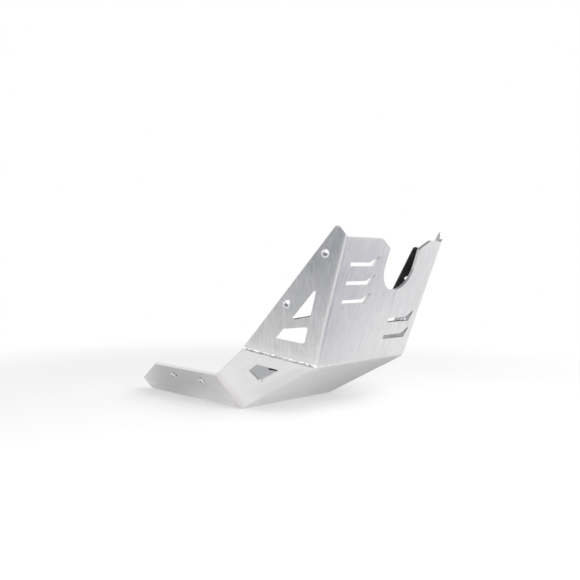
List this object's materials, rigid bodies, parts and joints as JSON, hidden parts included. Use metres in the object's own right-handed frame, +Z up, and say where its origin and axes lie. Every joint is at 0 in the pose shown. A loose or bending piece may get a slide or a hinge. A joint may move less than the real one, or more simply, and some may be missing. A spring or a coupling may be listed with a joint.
{
  "type": "skid plate",
  "caption": "Folded and welded sheet-aluminium guard for the underside and front of a motorbike engine, with notched front face, air slots, flared side wings and bolt-on brackets",
  "frame": {"origin": "middle of the flat belly's underside, half-way along it and on the machine's middle plane", "axes": "+Z is up, -Y is the front of the machine that the plate is bolted under, -X is the machine's right-hand side"},
  "size_m": [0.3104, 0.3937, 0.2441],
  "materials": {
    "aluminium_sheet": "brushed",
    "black_steel": "satin powder coat",
    "plated_steel": "bright plated"
  },
  "bodies": {
    "root": {"skid_plate": "aluminium_sheet", "wing_bracket_right": "black_steel", "wing_bracket_left": "black_steel", "flange_bracket_right": "black_steel", "flange_bracket_left": "black_steel", "wing_screw_lower_right": "plated_steel", "wing_screw_lower_left": "plated_steel", "wing_screw_upper_right": "plated_steel", "wing_screw_upper_left": "plated_steel", "wing_washer_lower_right": "plated_steel", "wing_washer_lower_left": "plated_steel", "wing_washer_upper_right": "plated_steel", "wing_washer_upper_left": "plated_steel", "wing_nut_lower_right": "plated_steel", "wing_nut_lower_left": "plated_steel", "wing_nut_upper_right": "plated_steel", "wing_nut_upper_left": "plated_steel", "flange_screw_front_right": "plated_steel", "flange_screw_front_left": "plated_steel", "flange_screw_rear_right": "plated_steel", "flange_screw_rear_left": "plated_steel", "flange_washer_front_right": "plated_steel", "flange_washer_front_left": "plated_steel", "flange_washer_rear_right": "plated_steel", "flange_washer_rear_left": "plated_steel", "flange_nut_front_right": "plated_steel", "flange_nut_front_left": "plated_steel", "flange_nut_rear_right": "plated_steel", "flange_nut_rear_left": "plated_steel"}
  },
  "joints": []
}
